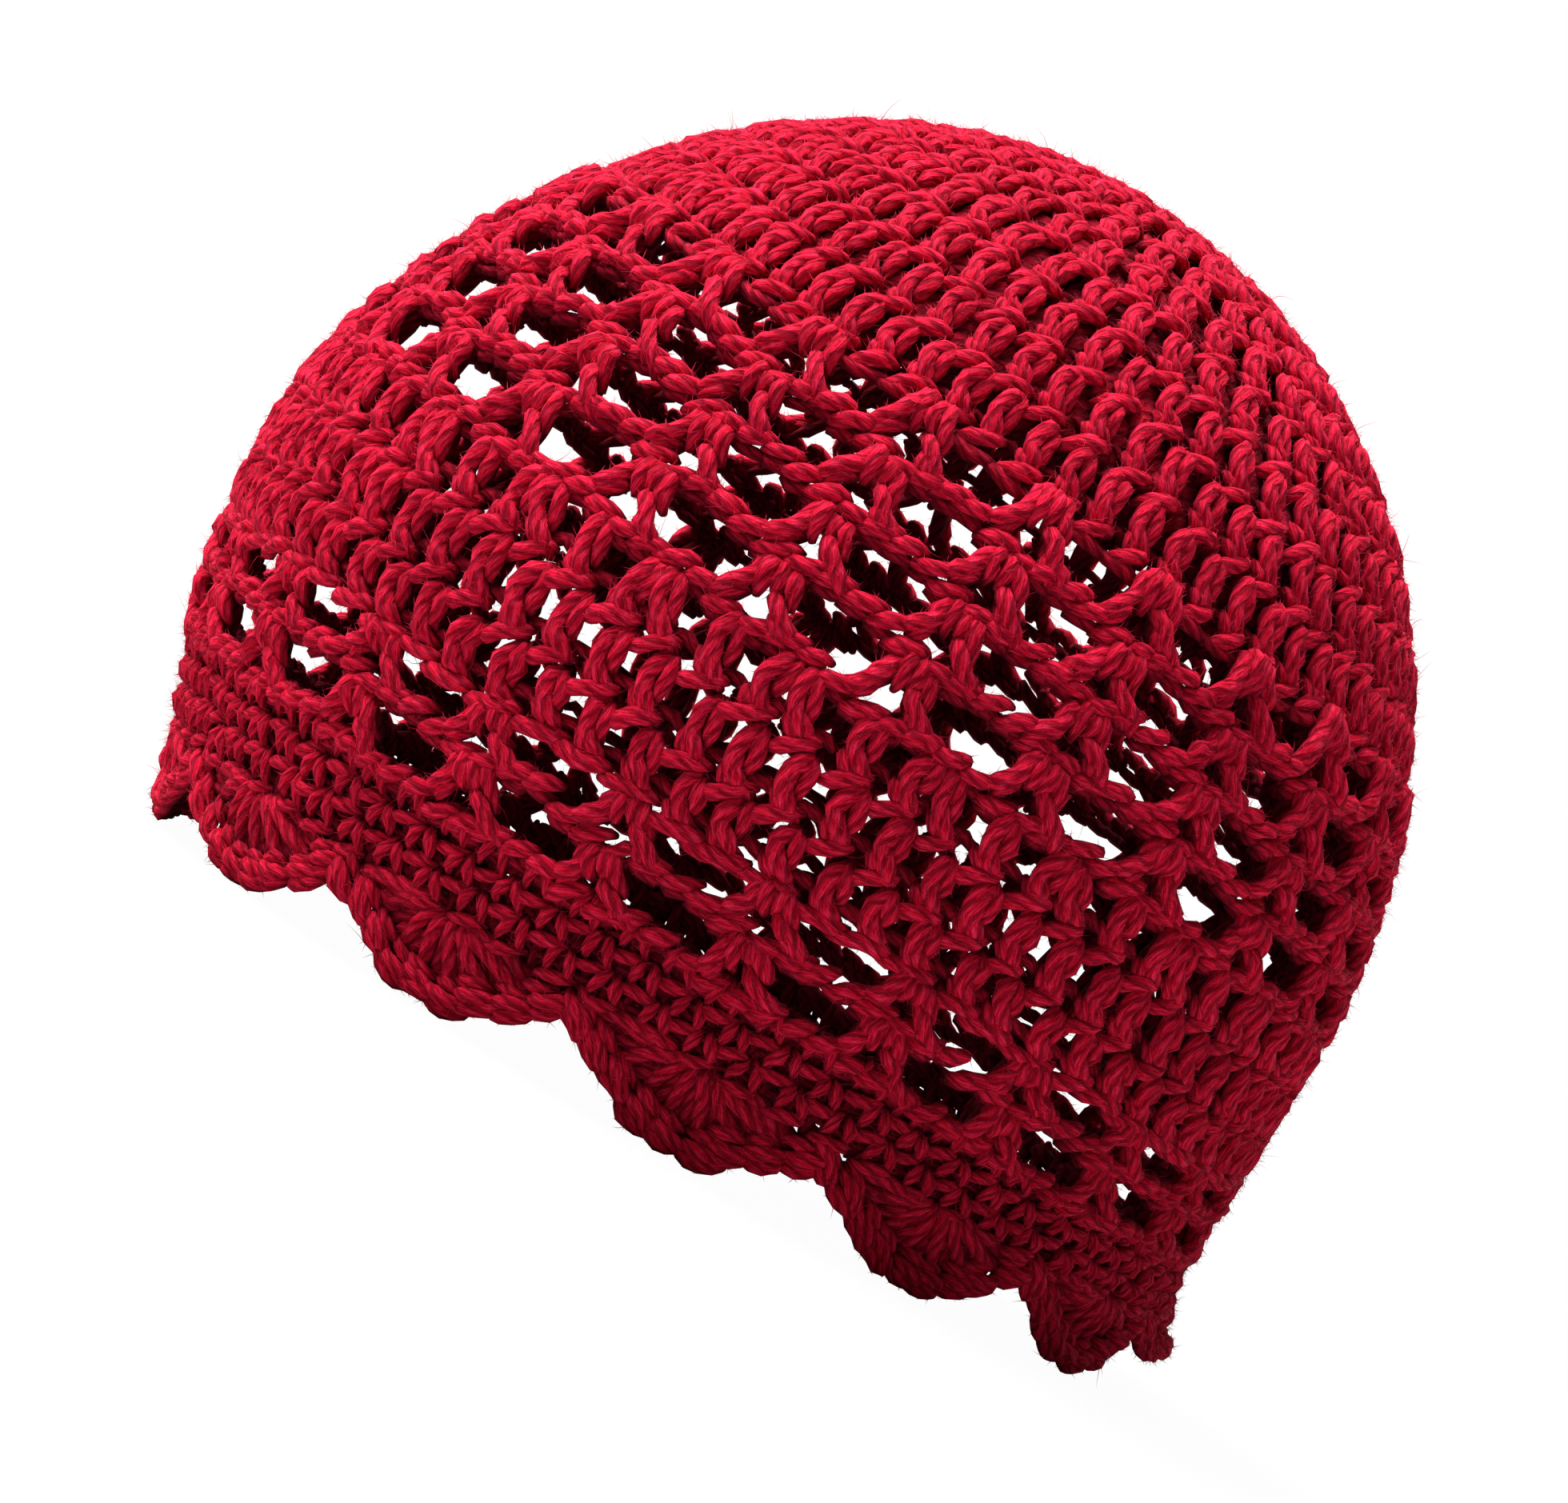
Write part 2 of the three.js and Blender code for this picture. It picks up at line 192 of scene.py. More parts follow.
# Above the lower lace the loops are drawn out long and nearly level
LONG_LOOP = (
    ("front loop", 1.0, (
        (-0.66, 1.16, -0.9), (-0.40, 1.11, 0.5), (0.02, 1.03, 1.1), (0.40, 0.96, 0.8), (0.64, 0.92, -0.6))),
)
POST = (
    ("right leg", 0.95, (
        (0.08, -0.07, -0.9), (0.11, 0.03, 0.5), (0.16, 0.17, 0.9), (0.20, 0.36, 1.0),
        (0.20, 0.53, 0.4), (0.22, 0.63, -0.7))),
    ("wrapped leg", 1.05, (
        (0.03, -0.06, -0.8), (-0.03, 0.04, 0.6), (-0.12, 0.19, 1.2), (-0.15, 0.37, 1.2),
        (-0.10, 0.55, 1.2), (0.05, 0.70, 1.3), (0.25, 0.80, 0.9), (0.42, 0.89, -0.5))),
    ("lower wrap", 0.95, (
        (-0.26, 0.60, -0.5), (-0.19, 0.72, 0.6), (0.01, 0.85, 0.7), (0.15, 0.97, -0.1))),
    ("back loop", 1.15, (
        (0.14, 0.72, -0.6), (0.38, 0.64, -0.8), (0.62, 0.62, -0.8), (0.88, 0.70, -0.7))),
    ("back of the post", 1.1, (
        (0.02, 0.00, -1.0), (0.04, 0.35, -1.2), (0.06, 0.70, -1.2), (0.10, 0.98, -1.0))),
)
# In the crown the legs lie close together, and the backs of the posts close most gaps
CROWN_POST = (
    ("right leg", 0.95, (
        (0.10, -0.07, -0.9), (0.13, 0.03, 0.6), (0.17, 0.18, 0.9), (0.19, 0.38, 0.9),
        (0.20, 0.55, 0.4), (0.22, 0.66, -0.7))),
    ("wrapped leg", 1.0, (
        (0.06, -0.09, -0.8), (0.02, 0.03, 0.9), (-0.10, 0.15, 1.4), (-0.18, 0.32, 1.3),
        (-0.15, 0.52, 1.2), (0.02, 0.67, 1.3), (0.20, 0.78, 0.9), (0.34, 0.88, -0.5))),
    ("lower wrap", 0.95, (
        (-0.24, 0.56, -0.5), (-0.19, 0.70, 0.7), (0.00, 0.83, 0.8), (0.14, 0.96, -0.1))),
    ("back loop", 0.85, (
        (0.14, 0.70, -0.6), (0.38, 0.62, -0.8), (0.62, 0.60, -0.8), (0.88, 0.68, -0.7))),
    ("back of the post", 1.1, (
        (0.02, 0.00, -1.0), (0.04, 0.35, -1.2), (0.06, 0.70, -1.2), (0.10, 0.98, -1.0))),
)
CROWN_BACK = (
    ("back between posts", 2.25, (
        (0.46, -0.30, -2.6), (0.48, 0.30, -2.8), (0.52, 0.80, -2.8), (0.56, 1.40, -2.6))),
)

SINGLE_CROCHET = (
    ("front loop", 0.92, (
        (-0.50, 1.16, -0.7), (-0.30, 1.08, 0.3), (-0.02, 0.95, 0.7), (0.24, 0.84, 0.3), (0.42, 0.76, -0.6))),
    ("left leg", 0.95, (
        (0.00, -0.25, -0.6), (-0.07, 0.00, 0.8), (-0.19, 0.40, 1.1), (-0.24, 0.78, -0.1))),
    ("right leg", 0.95, (
        (0.13, -0.25, -0.6), (0.18, 0.00, 0.8), (0.25, 0.40, 1.1), (0.27, 0.78, -0.1))),
    ("back of the head", 1.0, (
        (-0.55, 0.60, -0.9), (-0.20, 0.45, -1.2), (0.20, 0.45, -1.2), (0.55, 0.60, -0.9))),
    ("back of the post", 1.5, (
        (0.00, -0.20, -1.5), (0.02, 0.50, -1.8), (0.04, 1.20, -1.5))),
    ("back between posts", 1.5, (
        (0.50, -0.20, -1.5), (0.50, 0.50, -1.8), (0.52, 1.20, -1.5))),
)

# The two arms of a V stitch. Across is in millimetres from the middle of the V
LACE_ARMS = (
    ("left front leg", 1.0, (
        (-0.9, -0.03, -1.2), (-1.4, 0.04, 0.9), (-1.4, 0.22, 1.5), (-0.9, 0.42, 1.1), (-0.5, 0.56, -0.5))),
    ("left wrapped leg", 1.0, (
        (-1.6, 0.00, -1.2), (-2.3, 0.10, 0.6), (-2.7, 0.28, 1.0), (-3.1, 0.46, 1.3), (-4.0, 0.62, 1.5),
        (-5.3, 0.78, 1.3), (-6.6, 0.90, -0.2))),
    ("left lower wrap", 0.95, (
        (-1.8, 0.50, -0.6), (-2.8, 0.62, 0.8), (-3.7, 0.80, 1.1), (-4.4, 0.95, 0.3))),
    ("left back", 0.95, (
        (-1.0, 0.00, -0.8), (-2.4, 0.45, -1.0), (-4.4, 0.90, -0.7))),
    ("right front leg", 1.0, (
        (0.1, -0.03, -1.2), (0.4, 0.04, 0.9), (0.8, 0.20, 1.4), (1.2, 0.36, 0.8), (1.5, 0.46, -0.6))),
    ("right outer leg", 1.0, (
        (1.2, -0.02, -1.2), (1.9, 0.06, 0.7), (2.9, 0.24, 1.3), (4.0, 0.42, 1.1), (5.0, 0.56, -0.3))),
    ("right wrap", 1.0, (
        (1.4, 0.40, -0.7), (2.0, 0.49, 0.8), (3.3, 0.62, 1.5), (5.1, 0.77, 1.4), (7.0, 0.91, 1.0),
        (8.2, 0.99, -0.5))),
    ("right lower wrap", 0.95, (
        (2.8, 0.60, -0.5), (3.6, 0.74, 0.8), (4.9, 0.89, 1.0), (6.2, 0.99, 0.0))),
    ("right back", 0.95, (
        (0.9, 0.00, -0.8), (2.4, 0.45, -1.0), (4.6, 0.90, -0.7))),
)

# A chain link of a bar, in millimetres across and down from its middle
CHAIN_LINK = (
    ("upper strand", 1.0, (
        (-3.3, 1.2, -0.9), (-2.2, 0.9, 0.5), (-0.2, 0.1, 1.0), (1.9, -0.8, 0.7), (3.1, -1.2, -0.8))),
    ("lower strand", 1.1, (
        (-2.9, 1.9, -1.0), (-1.2, 1.8, -0.6), (1.1, 1.4, -0.6), (2.9, 0.8, -1.0))),
)
# The dark back of the heads along the top of the first openings
HEAD_BACK = (
    ("back of the head", 0.95, (
        (-4.4, -0.2, -1.0), (-2.2, 0.7, -0.5), (0.4, 0.8, -0.4), (2.9, 0.3, -0.6), (4.4, -0.3, -1.1))),
)

# A link of the backs of the heads, which close the gaps between two rounds, in millimetres
BACKING_LINK = (
    ("back chain", 1.45, (
        (-3.0, 0.2, -1.5), (0.0, -0.2, -1.9), (3.0, 0.2, -1.5))),
)

# A link of the border along the scallops, in millimetres along it and towards the edge
BORDER_LINK = (
    ("edge strand", 0.95, (
        (-4.0, 0.9, -0.9), (-2.5, 1.5, 0.2), (0.0, 1.8, 0.6), (2.5, 1.5, 0.2), (4.0, 0.8, -0.9))),
    ("inner strand", 0.9, (
        (-3.6, -0.6, -0.6), (-2.2, -0.4, 0.7), (0.0, 0.1, 1.2), (2.2, 0.7, 0.8), (3.6, 1.0, -0.5))),
    ("shaded strand", 0.85, (
        (-3.4, -2.2, -0.9), (-1.8, -2.0, 0.1), (0.2, -1.5, 0.5), (2.4, -0.9, -0.2))),
    ("back of the chain", 1.4, (
        (-4.2, -1.0, -1.5), (0.0, -0.6, -1.6), (4.2, -1.0, -1.5))),
)

# A stitch of a shell, across in millimetres from its line and down as a share of its length
SHELL_STITCH = (
    ("left leg", 0.9, (
        (0.0, -0.06, -1.2), (-0.6, 0.10, 0.3), (-1.1, 0.38, 0.3), (-1.2, 0.70, -0.5), (-0.9, 1.04, -1.5))),
    ("right leg", 0.8, (
        (0.3, -0.06, -1.2), (0.7, 0.12, -0.4), (1.0, 0.40, -0.5), (1.1, 0.72, -0.9), (0.9, 1.04, -1.5))),
    ("back of the post", 1.5, (
        (0.0, 0.00, -1.3), (0.1, 0.50, -1.8), (0.1, 1.12, -1.3))),
)
# What closes a shell between two of its stitches, behind them
SHELL_BACK = (
    ("back between posts", 1.7, (
        (0.0, 0.10, -1.6), (0.0, 0.60, -2.0), (0.0, 1.10, -1.5))),
)


def hex_colour(code):
    """An sRGB hex value as linear red, green, blue and full alpha."""
    channels = [int(code[i:i + 2], 16) / 255 for i in (0, 2, 4)]
    linear = [c / 12.92 if c <= 0.04045 else ((c + 0.055) / 1.055) ** 2.4 for c in channels]
    return (*linear, 1.0)


def smooth_between(knots, values, places):
    """Values of a smooth curve through the given values at the knots, along their first axis."""
    slopes = np.gradient(values, knots, axis=0)
    index = np.clip(np.searchsorted(knots, places, side="right") - 1, 0, len(knots) - 2)
    column = (-1,) + (1,) * (values.ndim - 1)
    width = (knots[index + 1] - knots[index]).reshape(column)
    t = (places - knots[index]).reshape(column) / width
    before = (2 * t**3 - 3 * t**2 + 1) * values[index] + (t**3 - 2 * t**2 + t) * width * slopes[index]
    after = (3 * t**2 - 2 * t**3) * values[index + 1] + (t**3 - t**2) * width * slopes[index + 1]
    return before + after


def unit(vectors):
    """The vectors at length one."""
    return vectors / np.maximum(np.linalg.norm(vectors, axis=-1, keepdims=True), 1e-12)


class Surface:
    """The middle of the hat's fabric, measured in millimetres from the top of the crown down."""

    def __init__(self, sizes):
        height, width = sizes.height / MM, sizes.width / MM
        self.flattening = sizes.length / sizes.width
        self.depth = sizes.fabric / MM / 2
        ups = np.linspace(0, OUTLINE[-1, 0], OUTLINE_STEPS)
        half, middle, lean = smooth_between(OUTLINE[:, 0], OUTLINE[:, 1:], ups).T
        start = math.asin(DOME_START)
        angles = np.linspace(start, math.pi / 2, OUTLINE_STEPS)[1:]
        rise = (1 - OUTLINE[-1, 0]) * height * (np.sin(angles) - DOME_START) / (1 - DOME_START)
        heights = np.concatenate([ups * height, ups[-1] * height + rise])[::-1]
        halves = np.concatenate([half, half[-1] * np.cos(angles) / math.cos(start)])[::-1] * width / 2
        middles = np.concatenate([middle * width, middle[-1] * width + rise * sizes.lean])[::-1]
        slopes = np.concatenate([lean, np.full(len(angles), lean[-1])])[::-1] * -sizes.lean
        runs = np.concatenate([[0], np.cumsum(np.hypot(np.diff(halves), np.diff(heights)))])
        out = unit(np.stack([-np.gradient(heights, runs), np.gradient(halves, runs)], axis=1))
        self.runs = runs
        self.full = runs[-1]
        self.columns = np.column_stack([heights, halves, middles, slopes, out])

    def drawn(self, run, turn):
        """The run after the hand's uneven tension has drawn it up or down."""
        pull = sum(
            size * np.sin(waves * turn + run / length + phase) for size, waves, length, phase in TENSION)
        fade = np.clip(run / TENSION_FADE, 0, 1) * np.clip((self.full - run) / TENSION_FADE, 0, 1)
        return run + pull * fade

    def half_width(self, run):
        """Half the hat's width at a run."""
        return np.interp(run, self.runs, self.columns[:, 1])

    def curled(self, run, turn):
        """How far out and up the edge has curled at a run and turn, in millimetres."""
        share = (np.clip(run / self.full, CURL_START, CURL_END) - CURL_START) / (1 - CURL_START)
        out, up = np.zeros((2, *np.shape(share)))
        for at, outwards, upwards, breadth in EDGE_CURLS:
            aside = np.remainder(turn - at + math.pi, FULL_TURN) - math.pi
            here = share**CURL_POWER * np.exp(-(aside / breadth)**2)
            out += outwards * here
            up += upwards * here
        return out, up

    def place(self, route):
        """Points in millimetres for a route of runs, turns and millimetres out of the fabric."""
        turn = route[..., 1]
        run = self.drawn(route[..., 0], turn)
        out = route[..., 2] - self.depth
        heights, halves, middles, slopes, across, up = (
            np.interp(run, self.runs, column) for column in self.columns.T)
        below = np.maximum(run - self.full, 0)
        curl_out, curl_up = self.curled(run, turn)
        half = np.maximum(halves + out * across, 0) + curl_out
        x = middles + half * np.sin(turn)
        y = -half * np.cos(turn) * self.flattening
        z = heights + slopes * half * np.sin(turn) + out * up - below + curl_up
        return np.stack([x, y, z], axis=-1)


class Skein:
    """Collects the strands of one piece as tubes of twisted yarn."""

    def __init__(self, surface, sizes, seed):
        self.surface = surface
        self.radius = sizes.yarn / MM / 2
        self.ply_pitch = sizes.ply_pitch / MM
        self.step = sizes.strand_step / MM
        self.rng = np.random.default_rng(seed)
        self.tubes = []

    def jitter(self, count, amount):
        """Small random shifts, the same on each run."""
        return self.rng.normal(0, amount, count)

    def lay(self, stitch, base, across, down, thickness=1.0, looseness=0.19, sink=0.0):
        """Lays every strand of a stitch at each base. base, across and down are runs and turns."""
        base, across, down = (np.asarray(value, float) for value in (base, across, down))
        for name, share, route in stitch:
            a, b, c = np.array(route).T
            routes = np.empty((len(base), len(a), 3))
            routes[..., :2] = base[:, None] + a[:, None] * across[:, None] + b[:, None] * down[:, None]
            routes[..., 2] = c * thickness - sink
            points = self.surface.place(routes)
            points += self.rng.normal(0, looseness, points.shape)
            outward = self.surface.place(routes + (0, 0, 1)) - self.surface.place(routes)
            radius = share * thickness * self.radius
            self.spin(points, outward[:, 0], routes[..., 2] + sink, radius, name.startswith(HIDDEN))

    def spin(self, points, outward, heights, radius, hidden):
        """Turns control points, as strand, point and axis, into soft, slightly uneven tubes."""
        sides = BACK_SIDES if hidden else FRONT_SIDES
        step = self.step * (BACK_STEP if hidden else 1)
        length = np.linalg.norm(np.diff(points, axis=1), axis=2).sum(axis=1).mean()
        steps = max(FEWEST_STEPS, round(length / step) + 1)
        knots = np.arange(points.shape[1], dtype=float)
        places = np.linspace(0, knots[-1], steps)
        path = smooth_between(knots, points.transpose(1, 0, 2), places)
        along = unit(np.gradient(path, axis=0))
        side = unit(np.cross(along[0], outward))
        sides_at, tops_at = [], []
        for tangent in along:
            side = unit(side - (side * tangent).sum(axis=-1, keepdims=True) * tangent)
            sides_at.append(side)
            tops_at.append(np.cross(tangent, side))
        run = np.zeros(path.shape[:2])
        run[1:] = np.cumsum(np.linalg.norm(np.diff(path, axis=0), axis=2), axis=0)
        plies = PLIES * (self.rng.uniform(0, 1, path.shape[1]) - run / self.ply_pitch)
        angles = np.arange(sides)[:, None] * FULL_TURN / sides
        end = np.minimum(np.arange(steps), np.arange(steps)[::-1])
        taper = np.interp(end, (0, 1, 2), (STRAND_END, (1 + STRAND_END) / 2, 1.0))
        swell = self.rng.normal(1, UNEVEN, (steps, path.shape[1], sides))
        swell *= self.rng.normal(1, STRAND_SPREAD, (path.shape[1], 1))
        reach = radius * taper[:, None, None] * swell
        ring = (np.array(sides_at)[:, :, None] * np.cos(angles)
                + np.array(tops_at)[:, :, None] * np.sin(angles))
        rings = path[:, :, None] + ring * reach[..., None]
        height = smooth_between(knots, heights.T, places)[..., None]
        height = height + reach * (ring * outward[:, None]).sum(axis=-1)
        self.tubes.append((rings.transpose(1, 0, 2, 3), run.T, plies.T, height.transpose(1, 0, 2)))

    def mesh(self, name):
        """One mesh of all the tubes, with each strand's plies and length as its UV map, and how
        many millimetres each point lies out of the middle of the fabric as an attribute, from which the
        yarn's material paints shade."""
        points, faces, coords, heights = [], [], [], []
        count = 0
        for rings, run, plies, height in self.tubes:
            strands, steps, sides = rings.shape[:3]
            index = count + np.arange(strands * steps * sides).reshape(strands, steps, sides)
            after = np.roll(index, -1, axis=2)
            quads = np.stack([index[:, :-1], after[:, :-1], after[:, 1:], index[:, 1:]], axis=-1)
            left = plies[..., None] + PLIES * np.arange(sides) / sides
            right = left + PLIES / sides
            u = np.stack([left[:, :-1], right[:, :-1], right[:, 1:], left[:, 1:]], axis=-1)
            v = np.stack([run[:, :-1], run[:, :-1], run[:, 1:], run[:, 1:]], axis=-1)
            v = np.broadcast_to(v[:, :, None], quads.shape) / UV_LENGTH
            caps = np.concatenate([index[:, 0, ::-1], index[:, -1]])
            points.append(rings.reshape(-1, 3))
            faces += [quads.reshape(-1, 4), caps]
            coords += [np.stack([u, v], axis=-1).reshape(-1, 2), np.zeros((caps.size, 2))]
            heights.append(height.ravel())
            count += index.size
        mesh = mesh_from(name, np.concatenate(points), faces)
        layer = mesh.uv_layers.new(name="plies")
        layer.data.foreach_set("uv", np.concatenate(coords).ravel())
        height = mesh.attributes.new("height", "FLOAT", "POINT")
        height.data.foreach_set("value", np.concatenate(heights))
        return mesh


def mesh_from(name, points, faces):
    """A smooth mesh from points in millimetres and arrays of faces, each with one count of corners."""
    points[:, 2] = np.maximum(points[:, 2], 0)  # the yarn lies flat on what the hat stands on
    corners = np.concatenate([part.ravel() for part in faces])
    sizes = np.concatenate([np.full(len(part), part.shape[1]) for part in faces])
    mesh = bpy.data.meshes.new(name)
    mesh.vertices.add(len(points))
    mesh.vertices.foreach_set("co", (points * MM).ravel())
    mesh.loops.add(len(corners))
    mesh.loops.foreach_set("vertex_index", corners)
    mesh.polygons.add(len(sizes))
    mesh.polygons.foreach_set("loop_start", np.cumsum(sizes) - sizes)
    mesh.update(calc_edges=True)
    mesh.shade_smooth()
    return mesh


def add_node(tree, kind, settings=None, **inputs):
    """Adds a shader node, sets its properties, and sets or links its inputs, by name or as i0, i1..."""
    node = tree.nodes.new(kind)
    for key, value in (settings or {}).items():
        setattr(node, key, value)
    for key, value in inputs.items():
        numbered = key[0] == "i" and key[1:].isdigit()
        socket = node.inputs[int(key[1:]) if numbered else key.replace("_", " ")]
        if isinstance(value, bpy.types.NodeSocket):
            tree.links.new(value, socket)
        else:
            socket.default_value = value
    return node


def worsted_acrylic_yarn(tree, colours):
    """Worsted acrylic yarn, four plies spun and twisted: matt, with painted shade in the lines between the
    plies, painted highlights and painted shade on the fibres along them, painted shade where it lies deep
    between the stitches, a little painted light where it stands out, and a pale sheen where it is seen edge
    on."""
    uv = add_node(tree, "ShaderNodeUVMap", {"uv_map": "plies"})
    split = add_node(tree, "ShaderNodeSeparateXYZ", i0=uv.outputs[0])
    # The plies are not even: a noise about 3 mm long shifts the lines between them
    uneven = add_node(
        tree, "ShaderNodeMapping", {"vector_type": "POINT"}, i0=uv.outputs[0], Scale=(1.3, 4.0, 1.0))
    drift = add_node(tree, "ShaderNodeTexNoise", Vector=uneven.outputs[0], Scale=1.0, Detail=1.0)
    shifted = add_node(
        tree, "ShaderNodeMath", {"operation": "MULTIPLY_ADD"},
        i0=drift.outputs[0], i1=0.7, i2=split.outputs[0])
    turned = add_node(
        tree, "ShaderNodeMath", {"operation": "MULTIPLY"}, i0=shifted.outputs[0], i1=FULL_TURN)
    wave = add_node(tree, "ShaderNodeMath", {"operation": "COSINE"}, i0=turned.outputs[0])
    ply = add_node(tree, "ShaderNodeMapRange", i0=wave.outputs[0], i1=-1.0, i2=0.3, i3=0.3, i4=1.0)
    # Fibres cross the plies at a slant: a stretched noise, about 0.3 mm apart and 2 mm long
    skewed = add_node(
        tree, "ShaderNodeMath", {"operation": "MULTIPLY_ADD"},
        i0=split.outputs[1], i1=1.7, i2=split.outputs[0])
    along = add_node(tree, "ShaderNodeCombineXYZ", X=skewed.outputs[0], Y=split.outputs[1])
    stretch = add_node(
        tree, "ShaderNodeMapping", {"vector_type": "POINT"}, i0=along.outputs[0], Scale=(6.5, 5.0, 1.0))
    fibre = add_node(
        tree, "ShaderNodeTexNoise", Vector=stretch.outputs[0], Scale=1.0, Detail=3.0, Roughness=0.7)
    # Painted highlights and painted shade: the noise lightens some fibres towards a brighter red and darkens
    # others towards a deep red
    bright = add_node(
        tree, "ShaderNodeMapRange", i0=fibre.outputs[0], i1=0.48, i2=0.64, i3=0.0, i4=1.0)
    dark = add_node(
        tree, "ShaderNodeMapRange", i0=fibre.outputs[0], i1=0.48, i2=0.33, i3=0.0, i4=0.85)
    lit = add_node(
        tree, "ShaderNodeMix", {"data_type": "RGBA"},
        i0=bright.outputs[0], i6=colours.yarn, i7=colours.bright)
    shade = add_node(
        tree, "ShaderNodeMix", {"data_type": "RGBA"},
        i0=dark.outputs[0], i6=lit.outputs[2], i7=colours.shade)
    # Painted shade: the lines between the plies are mixed towards a dark red
    plied = add_node(
        tree, "ShaderNodeMix", {"data_type": "RGBA"},
        i0=ply.outputs[0], i6=colours.groove_shade, i7=shade.outputs[2])
    # The dye took a little unevenly, over some 2 cm
    place = add_node(tree, "ShaderNodeTexCoord")
    dye = add_node(tree, "ShaderNodeTexNoise", Vector=place.outputs["Object"], Scale=60.0, Detail=2.0)
    tone = add_node(tree, "ShaderNodeMapRange", i0=dye.outputs[0], i1=0.3, i2=0.7, i3=0.88, i4=1.1)
    # Painted shade: the colour darkens where the yarn lies deep between the stitches, and grows a little
    # lighter where it stands out
    height = add_node(tree, "ShaderNodeAttribute", {"attribute_name": "height"})
    deep = add_node(
        tree, "ShaderNodeMapRange", {"interpolation_type": "SMOOTHSTEP"},
        i0=height.outputs["Fac"], i1=-1.0, i2=1.4, i3=0.22, i4=1.14)
    value = add_node(
        tree, "ShaderNodeMath", {"operation": "MULTIPLY"}, i0=tone.outputs[0], i1=deep.outputs[0])
    dyed_and_shaded = add_node(tree, "ShaderNodeHueSaturation", Color=plied.outputs[2], Value=value.outputs[0])
    rise = add_node(
        tree, "ShaderNodeMath", {"operation": "MULTIPLY_ADD"},
        i0=ply.outputs[0], i1=0.7, i2=fibre.outputs[0])
    bump = add_node(tree, "ShaderNodeBump", Strength=1.0, Distance=0.5 * MM, Height=rise.outputs[0])
    return add_node(
        tree, "ShaderNodeBsdfPrincipled", Base_Color=dyed_and_shaded.outputs[0], Roughness=0.85, IOR=1.46,
        Specular_IOR_Level=0.06, Sheen_Weight=0.16, Sheen_Roughness=0.4, Sheen_Tint=colours.sheen,
        Normal=bump.outputs[0])


def loose_acrylic_fibre(tree, colours):
    """Single acrylic fibres worked loose from the yarn: matt, paler than it, and letting light
    through, so that they glow pink against the background."""
    fibre = add_node(
        tree, "ShaderNodeBsdfPrincipled", Base_Color=colours.fibre, Roughness=0.8,
        Specular_IOR_Level=0.1)
    glow = add_node(tree, "ShaderNodeBsdfTranslucent", Color=colours.fibre)
    return add_node(tree, "ShaderNodeMixShader", i0=0.5, i1=fibre.outputs[0], i2=glow.outputs[0])


def matt_grey_paint(tree, colours):
    """Board painted matt pale grey. The camera sees it nearly white, as an overexposed floor is,
    with a faint shadow left on it."""
    path = add_node(tree, "ShaderNodeLightPath")
    share = add_node(
        tree, "ShaderNodeMath", {"operation": "MULTIPLY"},
        i0=path.outputs["Is Camera Ray"], i1=FLOOR_GLARE)
    paint = add_node(
        tree, "ShaderNodeBsdfPrincipled", Base_Color=colours.stage, Roughness=0.9,
        Specular_IOR_Level=0.1)
    glare = add_node(tree, "ShaderNodeEmission", Color=colours.paper, Strength=1.01)
    return add_node(
        tree, "ShaderNodeMixShader", i0=share.outputs[0], i1=paint.outputs[0], i2=glare.outputs[0])


def backlit_white_paper(tree, colours):
    """White background paper lit from behind: evenly bright, so it also lights the hat's outline."""
    return add_node(tree, "ShaderNodeEmission", Color=colours.paper, Strength=1.0)


def shared_material(maker):
    """The material whose surface the maker builds, named after it and made once."""
    name = maker.__name__
    if name not in bpy.data.materials:
        material = bpy.data.materials.new(name)
        material.use_nodes = True
        tree = material.node_tree
        tree.nodes.clear()
        output = tree.nodes.new("ShaderNodeOutputMaterial")
        surface = maker(tree, bpy.context.scene.hat_colours)
        tree.links.new(surface.outputs[0], output.inputs[0])
    return bpy.data.materials[name]


class HatSizes(bpy.types.PropertyGroup):
    """Sizes of the hat and its yarn."""

    height: bpy.props.FloatProperty(
        name="Height", description="From the scallop tips to the top of the crown",
        default=0.1552, min=0.05, unit="LENGTH")
    width: bpy.props.FloatProperty(
        name="Width", description="Across the widest round", default=0.1832, min=0.05, unit="LENGTH")
    length: bpy.props.FloatProperty(
        name="Length", description="Front to back at the widest round",
        default=0.1806, min=0.05, unit="LENGTH")
    lean: bpy.props.FloatProperty(
        name="Lean", description="Slope of the crown towards +X", default=0.114)
    fabric: bpy.props.FloatProperty(
        name="Fabric", description="Thickness of the crocheted fabric",
        default=0.004, unit="LENGTH")
    scallop: bpy.props.FloatProperty(
        name="Scallop depth", description="From a scallop's tip up to its notch",
        default=0.0087, unit="LENGTH")
    yarn: bpy.props.FloatProperty(
        name="Yarn", description="Thickness of the yarn where it is drawn tight",
        default=0.00262, unit="LENGTH")
    ply_pitch: bpy.props.FloatProperty(
        name="Ply pitch", description="Length of yarn in one turn of its plies",
        default=0.012, unit="LENGTH")
    strand_step: bpy.props.FloatProperty(
        name="Strand step", description="Length of one step of a strand's mesh",
        default=0.00142, unit="LENGTH")


def colour(name, description, code):
    """A colour property with an sRGB hex value as its default."""
    return bpy.props.FloatVectorProperty(
        name=name, description=description, default=hex_colour(code), subtype="COLOR", size=4,
        min=0.0, max=1.0)


